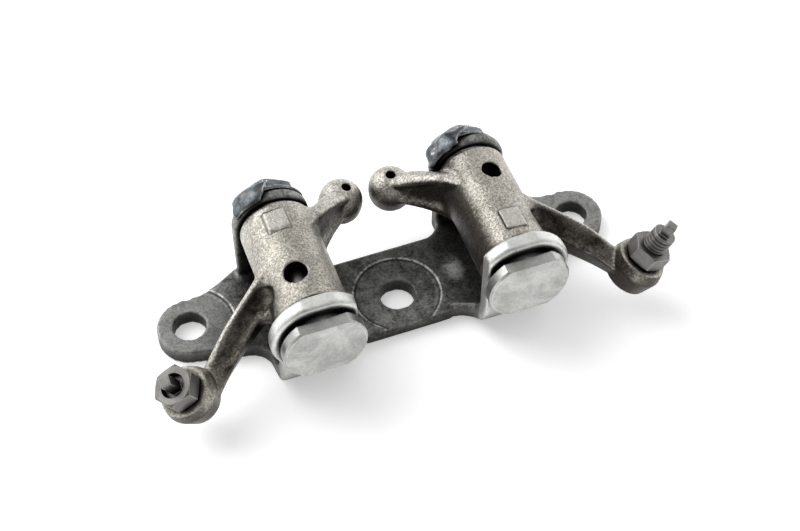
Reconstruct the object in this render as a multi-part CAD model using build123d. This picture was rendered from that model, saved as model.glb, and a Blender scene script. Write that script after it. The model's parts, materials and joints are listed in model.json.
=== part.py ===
from build123d import *
import os
from math import cos, radians, sin

# Twin rocker arm carrier: two forged rockers on fixed shafts above one plate.
# X runs along the plate, Y from front to rear, Z up. The origin is the axis of
# the centre bolt hole at the underside of the plate. Everything is drawn for
# the right-hand (+X) side, and mirrored for the left. Sizes in millimetres.

# --- shafts and bearings ---------------------------------------------------
shaft_x = 31.9                  # shaft axes, either side of the centre
shaft_z = 28.8
shaft_r = 7.0
shaft_chamfer = 0.6
run_clear = 0.04                # radial clearance, bush on shaft
seat_clear = 0.03               # radial clearance, shaft in its ear
stud_r = 4.95                   # threaded rear end of the shaft
stud_clear = 0.15
thread_clear = 0.05             # radial clearance between screw and nut
stud_end = 34.0
head_face = -27.6               # wrench head at the front of the shaft
head_t = 3.6
head_r = 12.85
head_flat = 10.4                # half the width across the two wrench flats
head_chamfer = 0.7
neck_r = 10.4
bush_r = 8.5
bush_len = 7.2
washer_r = 9.6
washer_t = 0.6
washer_gap = 0.03

# --- base plate --------------------------------------------------------------
plate_t = 6.2
web_front = -11.4
web_rear = 17.6
web_fillet = 6.5
spot_depth = 0.7                # spot faces under the bolt heads
centre_hole_r = 5.5
centre_spot_r = 13.6
lobe_x = 64.5                   # outer bolt lobes
lobe_y = 10.86
lobe_r = 10.2
lobe_hole_r = 5.1
lobe_spot_r = 14.1
front_ear_face = -22.5
front_ear_t = 5.0
front_ear_r = 15.0
front_ear_flat = 14.2           # machined flat on top, above the shaft axis
front_strip_in = 20.5           # sides of the strip that bends up into the ear
front_strip_out = 44.0
front_bend_in = 11.0            # bend radii, above and below the strip
front_bend_out = 16.5
front_waist_r = 4.0             # where the strip meets the ear's round head
web_ramp = 2.9                  # rise of the web's corner fillet into the bend
front_side_r = 7.0              # where its outer side runs into the bolt lobe
front_side_end = -4.2
lobe_flank = (66.7, 0.9)        # corners of the plate between strip, lobe and rear ear
lobe_back = 62.5
rear_flank = (54.5, 21.8)
rear_flank_r = 20.0
rear_ear_face = 22.8
rear_ear_t = 4.2
rear_ear_top = 11.1             # top of the ear above the shaft axis
rear_ear_in = 11.7              # reach of its round head to each side
rear_ear_out = 12.7
rear_ear_round = 11.5
rear_corner_r = 1.2
rear_step = 7.5                 # shoulder on the inner side, below the shaft axis
rear_strip_in = 21.8
rear_strip_out = 45.3
ear_chamfer = 0.8

# --- rear fastening ------------------------------------------------------------
tab_t = 1.2
tab_r = 11.3
tab_inner = 12.0                # the tab that is folded forward over the ear's rim
tab_spread = 15.0               # half its width, in degrees
lock_tab_width = 8.6            # the tab that is folded back against the nut
lock_tab_rise = 3.4
tab_clear = 0.05
nut_af = 17.0
nut_t = 4.8
corner_cut = 0.5                # how far the hexagon corners are turned off

# --- rockers ---------------------------------------------------------------------
barrel_front = -16.5
barrel_rear = 21.7
barrel_r = 11.5
barrel_front_round = 0.8
barrel_rear_round = 2.0
root_fillet = 3.0               # where the arms grow out of the barrel
pad_size = (6.6, 7.2)
pad_rise = 0.35

valve_heading = Vector(0.802, -0.597, 0)    # adjuster arm, seen from above
valve_start = Vector(38.0, 4.4, 39.1)
valve_fall = 0.44
push_heading = Vector(-0.775, 0.632, 0)     # pushrod arm, seen from above

boss_axis = Vector(0.471, -0.075, 0.879).normalized()
boss_top_r = 7.8
boss_mid_r = 8.8                # at the forging's parting line
boss_low_r = 7.1
boss_mid = 3.7
boss_h = 10.0
pocket_r = 3.9
pocket_in = 5.2                 # pocket's centre line, forward of and above the ridge
pocket_up = 0.2
pocket_ends = (12.0, 30.0)      # along the arm

ball_centre = Vector(8.2, 28.7, 22.2)
ball_r = 7.0
ball_skirt = 2.6                # straight side below the ball's centre
ball_axis = Vector(-0.10, -0.26, 0.96).normalized()
oil_way_r = 1.5
cup_r = 4.0
cup_depth = 1.2
cup_face = 5.2

# --- adjusters ---------------------------------------------------------------------
lock_af = 11.6
lock_t = 5.8
lock_land = 0.5
screw_r = 3.8
screw_len = 26.0
stub_side = 3.2
stub_len = 4.2
foot_r = 3.4
foot_len = 3.0

# What differs between the two hands. The rockers are forged the same way, and
# their oil hole and mark pad change places.
hands = {
    "left": dict(boss_top=Vector(74.0, -21.4, 19.9), screw_top=10.0, nut_turn=-4.0, stub_turn=5.0,
                 slide=0.4,
                 oil=(9.6, -6.1, 3.6), pad=(6.0, 14.2), oil_way=(-1.8, -0.5),
                 tab_at=60.0, tab_front=25.6),
    "right": dict(boss_top=Vector(72.8, -22.4, 19.1), screw_top=15.9, nut_turn=8.0, stub_turn=44.0,
                  slide=0.0,
                  oil=(15.0, 10.9, 3.15), pad=(7.0, -9.1), oil_way=(0.1, -0.3),
                  tab_at=120.0, tab_front=23.4),
}


def rod(y0, y1, r, x=shaft_x, z=shaft_z):
    """Cylinder along Y."""
    return Plane(origin=(x, y0, z), z_dir=(0, 1, 0)) * Cylinder(
        r, y1 - y0, align=(Align.CENTER, Align.CENTER, Align.MIN))


def upright(r, height, x=0.0, y=0.0, z=0.0):
    return Pos(x, y, z) * Cylinder(r, height, align=(Align.CENTER, Align.CENTER, Align.MIN))


def hexagon_nut(af, height, hole_r, turned_ends=("top",)):
    """Nut standing on Z = 0, with the corners of its hexagon turned off."""
    across_corners = af / cos(radians(30))
    body = extrude(RegularPolygon(af / 2, 6, major_radius=False), height)
    turned = upright(across_corners / 2, height)
    for end in turned_ends:
        place = -1 if end == "top" else 0
        rim = turned.faces().sort_by(Axis.Z)[place].edges()
        turned = chamfer(rim, corner_cut, 2 * corner_cut)
    return (body & turned) - upright(hole_r, height)


# --- base plate -----------------------------------------------------------------------
def plate_outline():
    """Right half of the plate seen from above, up to the centre line."""
    rear_back = rear_ear_face + rear_ear_t
    lobe_rear = lobe_y + lobe_r - 0.2
    corners = [
        ((0, web_front), 0),
        ((front_strip_in, web_front), web_fillet),
        ((front_strip_in, front_ear_face), 0),
        ((front_strip_out, front_ear_face), 0),
        ((front_strip_out, front_side_end), front_side_r),
        (lobe_flank, 0),
        ((lobe_back, lobe_rear), 0),
        (rear_flank, rear_flank_r),
        ((rear_strip_out, rear_back), 0),
        ((rear_strip_in, rear_back), 0),
        ((rear_strip_in, web_rear), web_fillet),
        ((0, web_rear), 0),
    ]
    points = [point for point, _ in corners]
    radii = [radius for _, radius in corners]
    outline = FilletPolyline(*points, radius=radii, close=True)
    lobe = Pos(lobe_x, lobe_y) * Circle(lobe_r)
    return make_face(outline) + lobe


def bend_profile(plane):
    """Section of the strip that turns up from the plate into the front ear."""
    back = front_ear_face + front_ear_t
    top = shaft_z + front_ear_r
    upper_start = back + front_bend_in
    under_start = front_ear_face + front_bend_out
    with BuildSketch(plane) as profile:
        with BuildLine():
            Polyline((under_start, 0), (upper_start, plate_t))
            RadiusArc((upper_start, plate_t), (back, plate_t + front_bend_in), front_bend_in)
            Polyline((back, plate_t + front_bend_in), (back, top), (front_ear_face, top),
                     (front_ear_face, front_bend_out))
            RadiusArc((front_ear_face, front_bend_out), (under_start, 0), -front_bend_out)
        make_face()
    return profile.sketch


def front_ear_shape():
    """Front view of the strip and the round head above it, centred on the shaft."""
    width = front_strip_out - front_strip_in
    middle = (front_strip_out + front_strip_in) / 2 - shaft_x
    neck = Pos(middle, -shaft_z / 2) * Rectangle(width, shaft_z)
    shape = Circle(front_ear_r - ear_chamfer) + neck
    waist = shape.vertices().filter_by(lambda v: -shaft_z + 1 < v.Y < -4)
    return fillet(waist, front_waist_r)


def front_ear(outline):
    """Strip bent up from the plate's front edge, with a round head flattened on top."""
    blend_start = front_strip_in - web_fillet
    strip = extrude(bend_profile(Plane.YZ.offset(blend_start)), front_strip_out - blend_start + 6)
    facing = Plane(origin=(shaft_x, 0, shaft_z), x_dir=(1, 0, 0), z_dir=(0, -1, 0))
    head = rod(front_ear_face, front_ear_face + front_ear_t, front_ear_r)
    head = chamfer(head.edges().filter_by(GeomType.CIRCLE), ear_chamfer)
    upper = extrude(facing * front_ear_shape(), shaft_z, both=True) + head
    split = plate_t + 6
    span = 2 * shaft_z
    low = Pos(shaft_x, 0, split / 2) * Box(span, span, split)
    high = Pos(shaft_x, 0, split + span / 2) * Box(span, span, span)
    ear = strip & (upper + low) & (extrude(outline, split) + high)
    ear -= Pos(shaft_x, 0, shaft_z + front_ear_flat + span / 2) * Box(span, span, span)
    above_ramp = Polygon((blend_start, plate_t), (front_strip_in, plate_t + web_ramp),
                         (front_strip_in, span), (blend_start, span), align=None)
    return ear - extrude(Plane.XZ * above_ramp, span, both=True)


def rear_ear():
    """Upright ear at the rear edge, round at the top, narrowed on its inner side."""
    foot_in = rear_strip_in - shaft_x
    head = FilletPolyline(
        (-rear_ear_in, -rear_step), (-rear_ear_in, rear_ear_top), (rear_ear_out, rear_ear_top),
        (rear_ear_out, -shaft_z), (foot_in, -shaft_z), (foot_in, -rear_step),
        radius=[rear_corner_r, rear_ear_round, rear_ear_round, 0, 0, 0], close=True)
    facing = Plane(origin=(shaft_x, rear_ear_face, shaft_z), x_dir=(1, 0, 0), z_dir=(0, -1, 0))
    ear = extrude(facing * make_face(head), -rear_ear_t)
    rim = ear.edges().filter_by(lambda e: e.center().Z > shaft_z + 1 and abs(e.tangent_at(0.5).Y) < 0.1)
    return chamfer(rim, ear_chamfer)


def base_plate():
    outline = plate_outline()
    flat = extrude(outline, plate_t)
    bend_y = front_ear_face + front_ear_t + front_bend_in
    zone_start = front_strip_in - web_fillet
    zone_end = front_strip_out + front_side_r
    strip_zone = Pos((zone_start + zone_end) / 2, bend_y - 20, plate_t / 2) * Box(
        zone_end - zone_start, 40, 2 * plate_t)
    half = flat - strip_zone + front_ear(outline) + rear_ear()
    half -= rod(front_ear_face - 1, front_ear_face + front_ear_t + 1, shaft_r + seat_clear)
    half -= rod(rear_ear_face - 1, rear_ear_face + rear_ear_t + 1, stud_r + stud_clear)
    level = plate_t - spot_depth
    half -= upright(lobe_spot_r, 3, lobe_x, lobe_y, level)
    half -= upright(lobe_hole_r, 3 * plate_t, lobe_x, lobe_y, -plate_t)
    plate = half + mirror(half, about=Plane.YZ)
    plate -= upright(centre_spot_r, 3, z=level)
    plate -= upright(centre_hole_r, 3 * plate_t, z=-plate_t)
    return plate


# --- rockers -----------------------------------------------------------------------------
def arm_section(point, front, outline):
    """One upright section of an arm. Local X reaches toward `front`, local Y up.

    outline is a list of (x, y, corner radius).
    """
    plane = Plane(origin=point, x_dir=front, z_dir=front.cross(Vector(0, 0, 1)))
    corners = [(x, y) for x, y, _ in outline]
    radii = [r for _, _, r in outline]
    return plane * make_face(FilletPolyline(*corners, radius=radii, close=True))


def valve_section(along, sink, rim, drop, low, rear, depth):
    """Section of the adjuster arm, hung from its ridge line."""
    front = Vector(valve_heading.Y, -valve_heading.X, 0)
    point = valve_start + valve_heading * along - Vector(0, 0, valve_fall * along + sink)
    return arm_section(point, front, [
        (0, 0, 1.8), (rim, -drop, 0.8), (low, -depth, 1.8), (-rear, -depth + 0.6, 1.8)])


def valve_arm():
    return loft([
        valve_section(-4.0, 2.6, 8.4, 3.4, 8.0, 5.5, 13.0),
        valve_section(6.0, 0.4, 7.6, 2.9, 6.6, 4.4, 13.7),
        valve_section(16.0, -0.3, 7.2, 2.9, 5.8, 3.6, 13.2),
        valve_section(27.0, 0.0, 7.5, 2.8, 5.2, 3.4, 11.8),
        valve_section(33.0, 2.4, 8.0, 1.1, 5.2, 3.4, 9.0),
        valve_section(38.5, 3.8, 8.2, 1.3, 5.2, 3.8, 7.4),
    ])


def valve_pocket():
    """Round-ended hollow between the arm's ridge and its front rim."""
    front = Vector(valve_heading.Y, -valve_heading.X, 0)
    slope = valve_heading - Vector(0, 0, valve_fall)
    near, far = pocket_ends
    start = valve_start + slope * near + front * pocket_in + Vector(0, 0, pocket_up)
    end = start + slope * (far - near)
    run = Plane(origin=start, z_dir=slope) * Cylinder(
        pocket_r, (end - start).length, align=(Align.CENTER, Align.CENTER, Align.MIN))
    return run + Pos(start) * Sphere(pocket_r) + Pos(end) * Sphere(pocket_r)


def boss():
    """Adjuster boss, widest at the parting line, hung from Z = 0."""
    section = Plane.XZ * Polygon(
        (0, 0), (boss_top_r, 0), (boss_mid_r, -boss_mid), (boss_low_r, -boss_h), (0, -boss_h),
        align=None)
    return revolve(section, Axis.Z)


def push_section(point, lean, ridge, low, rear, depth):
    """Section of the pushrod arm: a narrow rib whose side is hollow above a wide foot."""
    front = Vector(-push_heading.Y, push_heading.X, 0)
    return arm_section(point, front, [
        (-ridge, 0, 1.1), (ridge, -lean, 1.1), (ridge + 0.8, -depth * 0.7, 2.0),
        (low, -depth, 1.2), (-rear, -depth, 1.6)])


def push_arm():
    return loft([
        push_section(Vector(27.5, 10.6, 38.6), 0.6, 2.6, 9.5, 4.5, 15.5),
        push_section(Vector(20.5, 16.2, 36.8), 1.0, 1.9, 7.4, 3.0, 13.0),
        push_section(Vector(15.4, 20.9, 34.5), 1.1, 1.7, 6.2, 2.6, 12.0),
        push_section(Vector(9.6, 25.6, 30.6), 1.0, 1.8, 4.9, 2.6, 10.2),
    ])


def pushrod_end():
    """Domed end of the pushrod arm, straight-sided below, upright, centred on its dome."""
    skirt_round = cup_face - ball_skirt
    with BuildSketch(Plane.XZ) as profile:
        with BuildLine():
            RadiusArc((0, ball_r), (ball_r, 0), ball_r)
            Line((ball_r, 0), (ball_r, -ball_skirt))
            RadiusArc((ball_r, -ball_skirt), (ball_r - skirt_round, -cup_face), skirt_round)
            Polyline((ball_r - skirt_round, -cup_face), (0, -cup_face), (0, ball_r))
        make_face()
    return revolve(profile.sketch, Axis.Z)


def barrel():
    turned = rod(barrel_front, barrel_rear, barrel_r)
    ends = turned.edges().filter_by(GeomType.CIRCLE).sort_by(Axis.Y)
    turned = fillet(ends[0], barrel_front_round)
    return fillet(turned.edges().filter_by(GeomType.CIRCLE).sort_by(Axis.Y)[-1], barrel_rear_round)


def on_surface(edge, solid, gap=0.02):
    """Whether an edge lies on the skin of a solid."""
    places = [Vertex(*edge.position_at(share)) for share in (0.25, 0.5, 0.75)]
    return all(min(place.distance_to(face) for face in solid.faces()) < gap for place in places)


def grow(body, arm, radius):
    """Joins an arm to a body with a fillet all round its root."""
    joined = body + arm
    root = [e for e in joined.edges() if on_surface(e, body) and on_surface(e, arm)]
    return fillet(root, radius)


def on_barrel(angle, y):
    """Plane at the shaft axis whose Z points out of the barrel, `angle` off the top."""
    out = Vector(sin(radians(angle)), 0, cos(radians(angle)))
    return Plane(origin=(shaft_x, y, shaft_z), x_dir=Vector(0, 1, 0).cross(out), z_dir=out)


def forging(boss_plane, ball_plane):
    """The rocker before it is machined."""
    body = grow(barrel(), push_arm(), root_fillet)
    body = grow(body, valve_arm(), root_fillet) - valve_pocket()
    return body + boss_plane * boss() + ball_plane * pushrod_end()


def rocker(hand):
    values = hands[hand]
    boss_plane = Plane(origin=values["boss_top"], z_dir=boss_axis)
    ball_plane = Plane(origin=ball_centre, z_dir=ball_axis)
    body = forging(boss_plane, ball_plane)
    pad_angle, pad_y = values["pad"]
    pad_base = barrel_r - 1
    pad_top = barrel_r + pad_rise
    body += on_barrel(pad_angle, pad_y) * Pos(0, 0, pad_base) * Box(
        *pad_size, pad_top - pad_base, align=(Align.CENTER, Align.CENTER, Align.MIN))
    body -= rod(barrel_front - 1, barrel_rear + 1, bush_r)
    oil_angle, oil_y, oil_r = values["oil"]
    body -= on_barrel(oil_angle, oil_y) * upright(oil_r, 2 * shaft_r)
    body -= boss_plane * upright(screw_r + thread_clear, 3 * boss_h, z=-2 * boss_h)
    way_x, way_y = values["oil_way"]
    body -= Pos(ball_centre) * upright(oil_way_r, 2 * ball_r, way_x, way_y)
    body -= ball_plane * Pos(0, 0, -cup_face + cup_depth - cup_r) * Sphere(cup_r)
    return body


# --- shafts, bearings and fasteners --------------------------------------------------------
def shaft():
    head = Circle(head_r) & Rectangle(2 * head_r, 2 * head_flat)
    facing = Plane(origin=(shaft_x, head_face, shaft_z), x_dir=(1, 0, 0), z_dir=(0, -1, 0))
    head = extrude(facing * head, -head_t)
    round_rim = head.faces().sort_by(Axis.Y)[0].edges().filter_by(GeomType.CIRCLE)
    head = chamfer(round_rim, head_chamfer)
    neck = rod(head_face + head_t, front_ear_face, neck_r)
    journal = rod(front_ear_face, rear_ear_face, shaft_r)
    stud = rod(rear_ear_face, stud_end, stud_r)
    stud = chamfer(stud.faces().sort_by(Axis.Y)[-1].edges(), shaft_chamfer)
    return head + neck + journal + stud


def bush(y0):
    return rod(y0, y0 + bush_len, bush_r) - rod(y0, y0 + bush_len, shaft_r + run_clear)


def thrust_washer(y0):
    return rod(y0, y0 + washer_t, washer_r) - rod(y0, y0 + washer_t, shaft_r + run_clear)


def tab_washer(hand):
    """Disc with one tab folded forward over the ear and one folded back against the nut."""
    values = hands[hand]
    y0 = rear_ear_face + rear_ear_t
    half = radians(tab_spread)
    reach = 2 * tab_r
    sector = Polygon((0, 0), (reach * cos(half), -reach * sin(half)),
                     (reach * cos(half), reach * sin(half)), align=None)
    facing = Plane(origin=(shaft_x, y0 + tab_t, shaft_z), x_dir=(1, 0, 0), z_dir=(0, -1, 0))
    turned = facing * Rot(0, 0, values["tab_at"])
    lug = extrude(turned * (Circle(tab_inner + tab_t) & sector), tab_t)
    fold = (Circle(tab_inner + tab_t) - Circle(tab_inner)) & sector
    fold = extrude(turned * fold, y0 + tab_t - values["tab_front"])
    near = nut_af / 2 + tab_clear
    rise = tab_t + lock_tab_rise
    lock = turned * Pos(near, 0, tab_t - rise) * Box(
        tab_t, lock_tab_width, rise, align=(Align.MIN, Align.CENTER, Align.MIN))
    disc = rod(y0, y0 + tab_t, tab_r) + lug + fold + lock
    return disc - rod(y0, y0 + tab_t, stud_r + stud_clear)


def shaft_nut(hand):
    values = hands[hand]
    y0 = rear_ear_face + rear_ear_t + tab_t
    nut = Rot(0, 0, 60 - values["tab_at"]) * hexagon_nut(nut_af, nut_t, stud_r + thread_clear)
    return Plane(origin=(shaft_x, y0, shaft_z), x_dir=(0, 0, 1), z_dir=(0, 1, 0)) * nut


def adjuster_screw(hand):
    """Screw with a square stub above and a rounded foot below."""
    values = hands[hand]
    top = values["screw_top"]
    place = Plane(origin=values["boss_top"], z_dir=boss_axis)
    thread_top = top - stub_len
    foot = top - screw_len
    body = upright(screw_r, thread_top - foot - foot_len, z=foot + foot_len)
    body = chamfer(body.faces().sort_by(Axis.Z)[-1].edges(), 0.5)
    tip = upright(foot_r, foot_len, z=foot)
    tip = fillet(tip.faces().sort_by(Axis.Z)[0].edges(), 1.6)
    stub = Pos(0, 0, thread_top) * Rot(0, 0, values["stub_turn"]) * Box(
        stub_side, stub_side, stub_len, align=(Align.CENTER, Align.CENTER, Align.MIN))
    return place * (body + tip + stub)


def lock_nut(hand):
    place = Plane(origin=hands[hand]["boss_top"], z_dir=boss_axis)
    hexagon = hexagon_nut(lock_af, lock_t - lock_land, screw_r + thread_clear, ("top", "bottom"))
    land = upright(lock_af / 2 - 0.9, lock_land) - upright(screw_r + thread_clear, lock_land)
    return place * Rot(0, 0, hands[hand]["nut_turn"]) * (Pos(0, 0, lock_land) * hexagon + land)


def right_side(hand):
    """All pieces of one side, drawn for the right hand."""
    slide = Pos(0, hands[hand]["slide"], 0)
    front_washer = front_ear_face + front_ear_t + washer_gap
    rear_washer = rear_ear_face - washer_gap - washer_t
    return {
        f"rocker_{hand}": slide * rocker(hand),
        f"bush_{hand}_front": slide * bush(barrel_front),
        f"bush_{hand}_rear": slide * bush(barrel_rear - bush_len),
        f"adjuster_screw_{hand}": slide * adjuster_screw(hand),
        f"lock_nut_{hand}": slide * lock_nut(hand),
        f"shaft_{hand}": shaft(),
        f"thrust_washer_{hand}_front": thrust_washer(front_washer),
        f"thrust_washer_{hand}_rear": thrust_washer(rear_washer),
        f"tab_washer_{hand}": tab_washer(hand),
        f"shaft_nut_{hand}": shaft_nut(hand),
    }


def build():
    nodes = {"base_plate": base_plate()}
    nodes.update(right_side("right"))
    for name, solid in right_side("left").items():
        nodes[name] = mirror(solid, about=Plane.YZ)
    return nodes


if __name__ == "__main__":
    os.makedirs("parts", exist_ok=True)
    for name, solid in build().items():
        export_step(solid, f"parts/{name}.step")
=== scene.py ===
import json
from math import cos, pi, radians, sin

import bmesh
import bpy
from mathutils import Matrix, Vector, noise


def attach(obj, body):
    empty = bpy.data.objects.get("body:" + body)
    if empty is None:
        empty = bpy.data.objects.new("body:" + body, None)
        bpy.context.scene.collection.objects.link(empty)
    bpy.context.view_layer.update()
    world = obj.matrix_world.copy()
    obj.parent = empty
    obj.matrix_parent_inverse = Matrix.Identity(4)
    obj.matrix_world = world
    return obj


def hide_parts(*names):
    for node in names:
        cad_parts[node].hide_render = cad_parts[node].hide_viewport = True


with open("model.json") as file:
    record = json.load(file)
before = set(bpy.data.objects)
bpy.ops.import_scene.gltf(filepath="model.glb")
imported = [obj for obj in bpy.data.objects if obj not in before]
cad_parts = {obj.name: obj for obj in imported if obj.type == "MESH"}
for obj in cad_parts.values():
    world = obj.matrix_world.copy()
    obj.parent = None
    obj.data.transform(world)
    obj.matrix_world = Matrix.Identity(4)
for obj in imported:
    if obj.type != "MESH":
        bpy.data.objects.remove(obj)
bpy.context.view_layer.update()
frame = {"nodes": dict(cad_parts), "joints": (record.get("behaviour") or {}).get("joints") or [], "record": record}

# Twin rocker arm carrier. Everything is in metres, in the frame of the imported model.

scene = bpy.context.scene
nodes = frame["nodes"]
joints = {joint["name"]: joint for joint in frame["joints"]}
mounts = {mount["name"]: mount for mount in frame["record"]["mounts"]}
mm = 0.001
sides = {"left": -1, "right": 1}
pivot = joints["right_rocker_pivot"]["pos_m"]
shaftX, shaftZ = pivot[0], pivot[2]                # the left shaft's x is minus this
lobes = mounts["outer_bolt_holes"]
spotFaces = ((0.0, 0.0), (lobes["dims"]["spacing_x_mm"] / 2 * mm, lobes["pos_m"][1]))


# helpers for node trees

def feed(tree, socket, value):
    # a link from another node, a colour, or a plain value
    if isinstance(value, bpy.types.NodeSocket):
        tree.links.new(value, socket)
    elif socket.type == "RGBA":
        socket.default_value = (*value, 1.0)
    else:
        socket.default_value = value


def put(tree, kind, inputs=None, **settings):
    node = tree.nodes.new(kind)
    for name, value in settings.items():
        setattr(node, name, value)
    for name, value in (inputs or {}).items():
        feed(tree, node.inputs[name], value)
    return node


def maths(tree, operation, first, second=0.0, third=0.0, clamp=False):
    node = put(tree, "ShaderNodeMath", operation=operation, use_clamp=clamp)
    for socket, value in zip(node.inputs, (first, second, third)):
        feed(tree, socket, value)
    return node.outputs[0]


def times(tree, first, second):
    return maths(tree, "MULTIPLY", first, second)


def minus(tree, first, second):
    return maths(tree, "SUBTRACT", first, second)


def awayFrom(tree, value, centre):
    return maths(tree, "ABSOLUTE", minus(tree, value, centre))


def ramp(tree, value, low, high, toLow=0.0, toHigh=1.0, smooth=True):
    node = put(tree, "ShaderNodeMapRange", {
        "Value": value, "From Min": low, "From Max": high, "To Min": toLow, "To Max": toHigh})
    node.interpolation_type = "SMOOTHSTEP" if smooth else "LINEAR"
    return node.outputs["Result"]


def mixColour(tree, amount, first, second, blend="MIX"):
    node = put(tree, "ShaderNodeMix", data_type="RGBA", blend_type=blend)
    sockets = [s for s in node.inputs if s.enabled]
    for socket, value in zip(sockets, (amount, first, second)):
        feed(tree, socket, value)
    return [s for s in node.outputs if s.enabled][0]


def layer(tree, under, mask, share, over):
    # one colour over another where the mask is full, as thickly as share says
    return mixColour(tree, times(tree, mask, share), under, over)


def split(tree, vector):
    parts = put(tree, "ShaderNodeSeparateXYZ", {"Vector": vector}).outputs
    return parts["X"], parts["Y"], parts["Z"]


def newGroup(name, kind, inputs, outputs):
    group = bpy.data.node_groups.new(name, kind)
    for label, socket, value in inputs:
        item = group.interface.new_socket(label, in_out="INPUT", socket_type=socket)
        if value is not None:
            item.default_value = value
    for label, socket in outputs:
        group.interface.new_socket(label, in_out="OUTPUT", socket_type=socket)
    return group, group.nodes.new("NodeGroupInput"), group.nodes.new("NodeGroupOutput")


def objectPoint(tree):
    return put(tree, "ShaderNodeTexCoord").outputs["Object"]


# shader effects shared by the metals

def makeGrainGroup():
    # fine forged or shot grain, with a slower unevenness under it
    group, given, result = newGroup("metalGrain", "ShaderNodeTree", [
        ("Fine", "NodeSocketFloat", 2600.0), ("Coarse", "NodeSocketFloat", 420.0)],
        [("Speckle", "NodeSocketFloat"), ("Height", "NodeSocketFloat")])
    point = objectPoint(group)
    fine = put(group, "ShaderNodeTexNoise", {
        "Vector": point, "Scale": given.outputs["Fine"], "Detail": 3.0, "Roughness": 0.6})
    coarse = put(group, "ShaderNodeTexNoise", {
        "Vector": point, "Scale": given.outputs["Coarse"], "Detail": 4.0, "Roughness": 0.55})
    speckle = ramp(group, fine.outputs[0], 0.38, 0.62)
    height = maths(group, "MULTIPLY_ADD", coarse.outputs[0], 0.5, times(group, fine.outputs[0], 0.5))
    group.links.new(speckle, result.inputs["Speckle"])
    group.links.new(height, result.inputs["Height"])
    return group


def makeMottleGroup():
    # blotches of two sizes, as on a bare surface that has been stained and wiped
    group, given, result = newGroup("metalMottle", "ShaderNodeTree", [
        ("Blotch", "NodeSocketFloat", 90.0), ("Spot", "NodeSocketFloat", 700.0),
        ("Spots", "NodeSocketFloat", 0.5)], [("Mask", "NodeSocketFloat")])
    point = objectPoint(group)
    blotch = put(group, "ShaderNodeTexNoise", {
        "Vector": point, "Scale": given.outputs["Blotch"], "Detail": 5.0, "Roughness": 0.6,
        "Distortion": 0.6})
    spot = put(group, "ShaderNodeTexNoise", {
        "Vector": point, "Scale": given.outputs["Spot"], "Detail": 3.0, "Roughness": 0.6})
    large = ramp(group, blotch.outputs[0], 0.34, 0.66)
    small = ramp(group, spot.outputs[0], 0.36, 0.64)
    share = given.outputs["Spots"]
    kept = times(group, large, minus(group, 1.0, share))
    mask = maths(group, "MULTIPLY_ADD", small, share, kept, clamp=True)
    group.links.new(mask, result.inputs["Mask"])
    return group


def makeEdgeGroup():
    # worn edges: where a rounded normal leaves the surface's own
    group, given, result = newGroup("wornEdge", "ShaderNodeTree", [
        ("Width", "NodeSocketFloat", 0.0006), ("Breaks", "NodeSocketFloat", 600.0)],
        [("Mask", "NodeSocketFloat"), ("Normal", "NodeSocketVector")])
    bevel = put(group, "ShaderNodeBevel", {"Radius": given.outputs["Width"]}, samples=6)
    geometry = put(group, "ShaderNodeNewGeometry")
    likeness = put(group, "ShaderNodeVectorMath", {
        0: bevel.outputs[0], 1: geometry.outputs["Normal"]}, operation="DOT_PRODUCT")
    edge = ramp(group, likeness.outputs["Value"], 0.995, 0.88)
    breaks = put(group, "ShaderNodeTexNoise", {
        "Vector": objectPoint(group), "Scale": given.outputs["Breaks"], "Detail": 2.0})
    broken = ramp(group, breaks.outputs[0], 0.3, 0.5, 0.35, 1.0)
    group.links.new(times(group, edge, broken), result.inputs["Mask"])
    group.links.new(bevel.outputs[0], result.inputs["Normal"])
    return group


def makeHollowGroup():
    # painted shade where a surface is shut in by its neighbours
    group, given, result = newGroup("paintedHollowShade", "ShaderNodeTree", [
        ("Reach", "NodeSocketFloat", 0.006), ("Open", "NodeSocketFloat", 0.85),
        ("Shut", "NodeSocketFloat", 0.25)], [("Mask", "NodeSocketFloat")])
    shade = put(group, "ShaderNodeAmbientOcclusion", {"Distance": given.outputs["Reach"]}, samples=8)
    hollow = ramp(group, shade.outputs["AO"], given.outputs["Open"], given.outputs["Shut"])
    group.links.new(hollow, result.inputs["Mask"])
    return group


# painted shade by facing: on faces turned forward and down, and on the right rocker's inner flank
facingShade = {
    "flank": {"X": -0.95, "Z": -0.3}, "flankFrom": (0.0, 0.02),     # only on the right rocker, x over 0
    "front": {"Y": -0.7, "Z": -0.7}, "frontFade": (0.05, 0.6),
    "ragged": 0.5, "raggedScale": 900.0,
}


def makeFacingShadeGroup():
    # painted shade where a rocker faces forward and down, and on the right one's inner flank
    group, given, result = newGroup("paintedFacingShade", "ShaderNodeTree", [
        ("Start", "NodeSocketFloat", 0.1), ("Full", "NodeSocketFloat", 0.5),
        ("Under", "NodeSocketFloat", 0.92)], [("Mask", "NodeSocketFloat")])
    coordinates = put(group, "ShaderNodeTexCoord")
    normalX, normalY, normalZ = split(group, coordinates.outputs["Normal"])
    x = split(group, coordinates.outputs["Object"])[0]
    edge = put(group, "ShaderNodeTexNoise", {
        "Vector": coordinates.outputs["Object"], "Scale": facingShade["raggedScale"], "Detail": 4.0,
        "Roughness": 0.65}).outputs[0]

    def ragged(facing):
        return maths(group, "MULTIPLY_ADD", edge, facingShade["ragged"], minus(
            group, facing, facingShade["ragged"] / 2))

    inward = maths(group, "MULTIPLY_ADD", normalX, facingShade["flank"]["X"], times(
        group, normalZ, facingShade["flank"]["Z"]))
    inward = ragged(times(group, inward, ramp(group, x, *facingShade["flankFrom"])))
    flank = ramp(group, inward, given.outputs["Start"], given.outputs["Full"])
    lower = ragged(maths(group, "MULTIPLY_ADD", normalY, facingShade["front"]["Y"], times(
        group, normalZ, facingShade["front"]["Z"])))
    under = times(group, ramp(group, lower, *facingShade["frontFade"]), given.outputs["Under"])
    group.links.new(maths(group, "MAXIMUM", flank, under), result.inputs["Mask"])
    return group


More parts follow.
